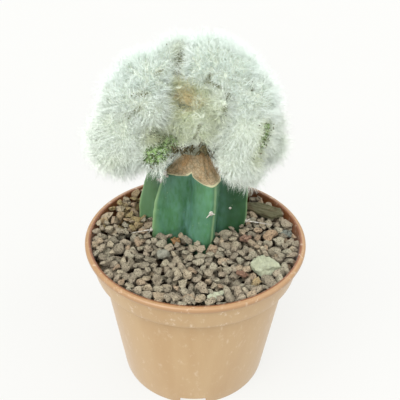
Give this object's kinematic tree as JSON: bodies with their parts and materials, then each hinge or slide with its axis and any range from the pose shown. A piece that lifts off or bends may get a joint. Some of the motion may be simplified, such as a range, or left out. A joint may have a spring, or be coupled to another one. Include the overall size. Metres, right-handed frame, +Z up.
{
  "type": "potted grafted crested woolly cactus",
  "caption": "Potted cactus: a white-woolled crested head grafted on a six-ribbed blue-green rootstock, in a round plastic pot dressed with crushed lava stone.",
  "frame": {"origin": "centre of the pot's foot, on the surface it stands on", "axes": "+Z up; the open front of the crest, over the graft, faces -Y; +X to the right seen from the front"},
  "size_m": [0.12, 0.12, 0.1923],
  "materials": {
    "pot_plastic": "satin terracotta-coloured moulded plastic with faint scuffs",
    "potting_mix": "dark crumbly potting mix",
    "lava_gravel": "rough grey-brown crushed lava",
    "rootstock_skin": "smooth green skin with a blue waxy bloom",
    "crest_wool": "dense fine white wool",
    "cream_stone": "pale cream limestone",
    "red_stone": "reddish lava",
    "amber_stone": "tan lava",
    "slate_stone": "blue-grey stone",
    "bark_chip": "weathered grey-green bark with streaks along its length",
    "spine": "grey-white horny spines on felted areoles"
  },
  "bodies": {
    "root": {"pot": "pot_plastic", "potting_mix": "potting_mix", "gravel_bed": "lava_gravel", "rootstock": "rootstock_skin", "crest": "crest_wool", "cream_stone_large": "cream_stone", "cream_stone_small": "cream_stone", "red_stone_right": "red_stone", "red_stone_front": "red_stone", "amber_stone": "amber_stone", "slate_stone_left": "slate_stone", "slate_stone_right": "slate_stone", "long_stone_right": "lava_gravel", "lava_stone_01": "lava_gravel", "lava_stone_02": "lava_gravel", "lava_stone_03": "lava_gravel", "lava_stone_04": "lava_gravel", "lava_stone_05": "lava_gravel", "lava_stone_06": "lava_gravel", "lava_stone_07": "lava_gravel", "lava_stone_08": "lava_gravel", "lava_stone_09": "lava_gravel", "lava_stone_10": "lava_gravel", "lava_stone_11": "lava_gravel", "lava_stone_12": "lava_gravel", "lava_stone_13": "lava_gravel", "lava_stone_14": "lava_gravel", "lava_stone_15": "lava_gravel", "lava_stone_16": "lava_gravel", "bark_chip": "bark_chip", "spines_rib_1_lower": "spine", "spines_rib_2_lower": "spine", "spines_rib_2_upper": "spine", "spines_rib_3_lower": "spine", "spines_rib_3_upper": "spine", "spines_rib_4_upper": "spine", "spines_rib_5_lower": "spine", "spines_rib_5_upper": "spine", "spines_rib_6_upper": "spine"}
  },
  "joints": []
}
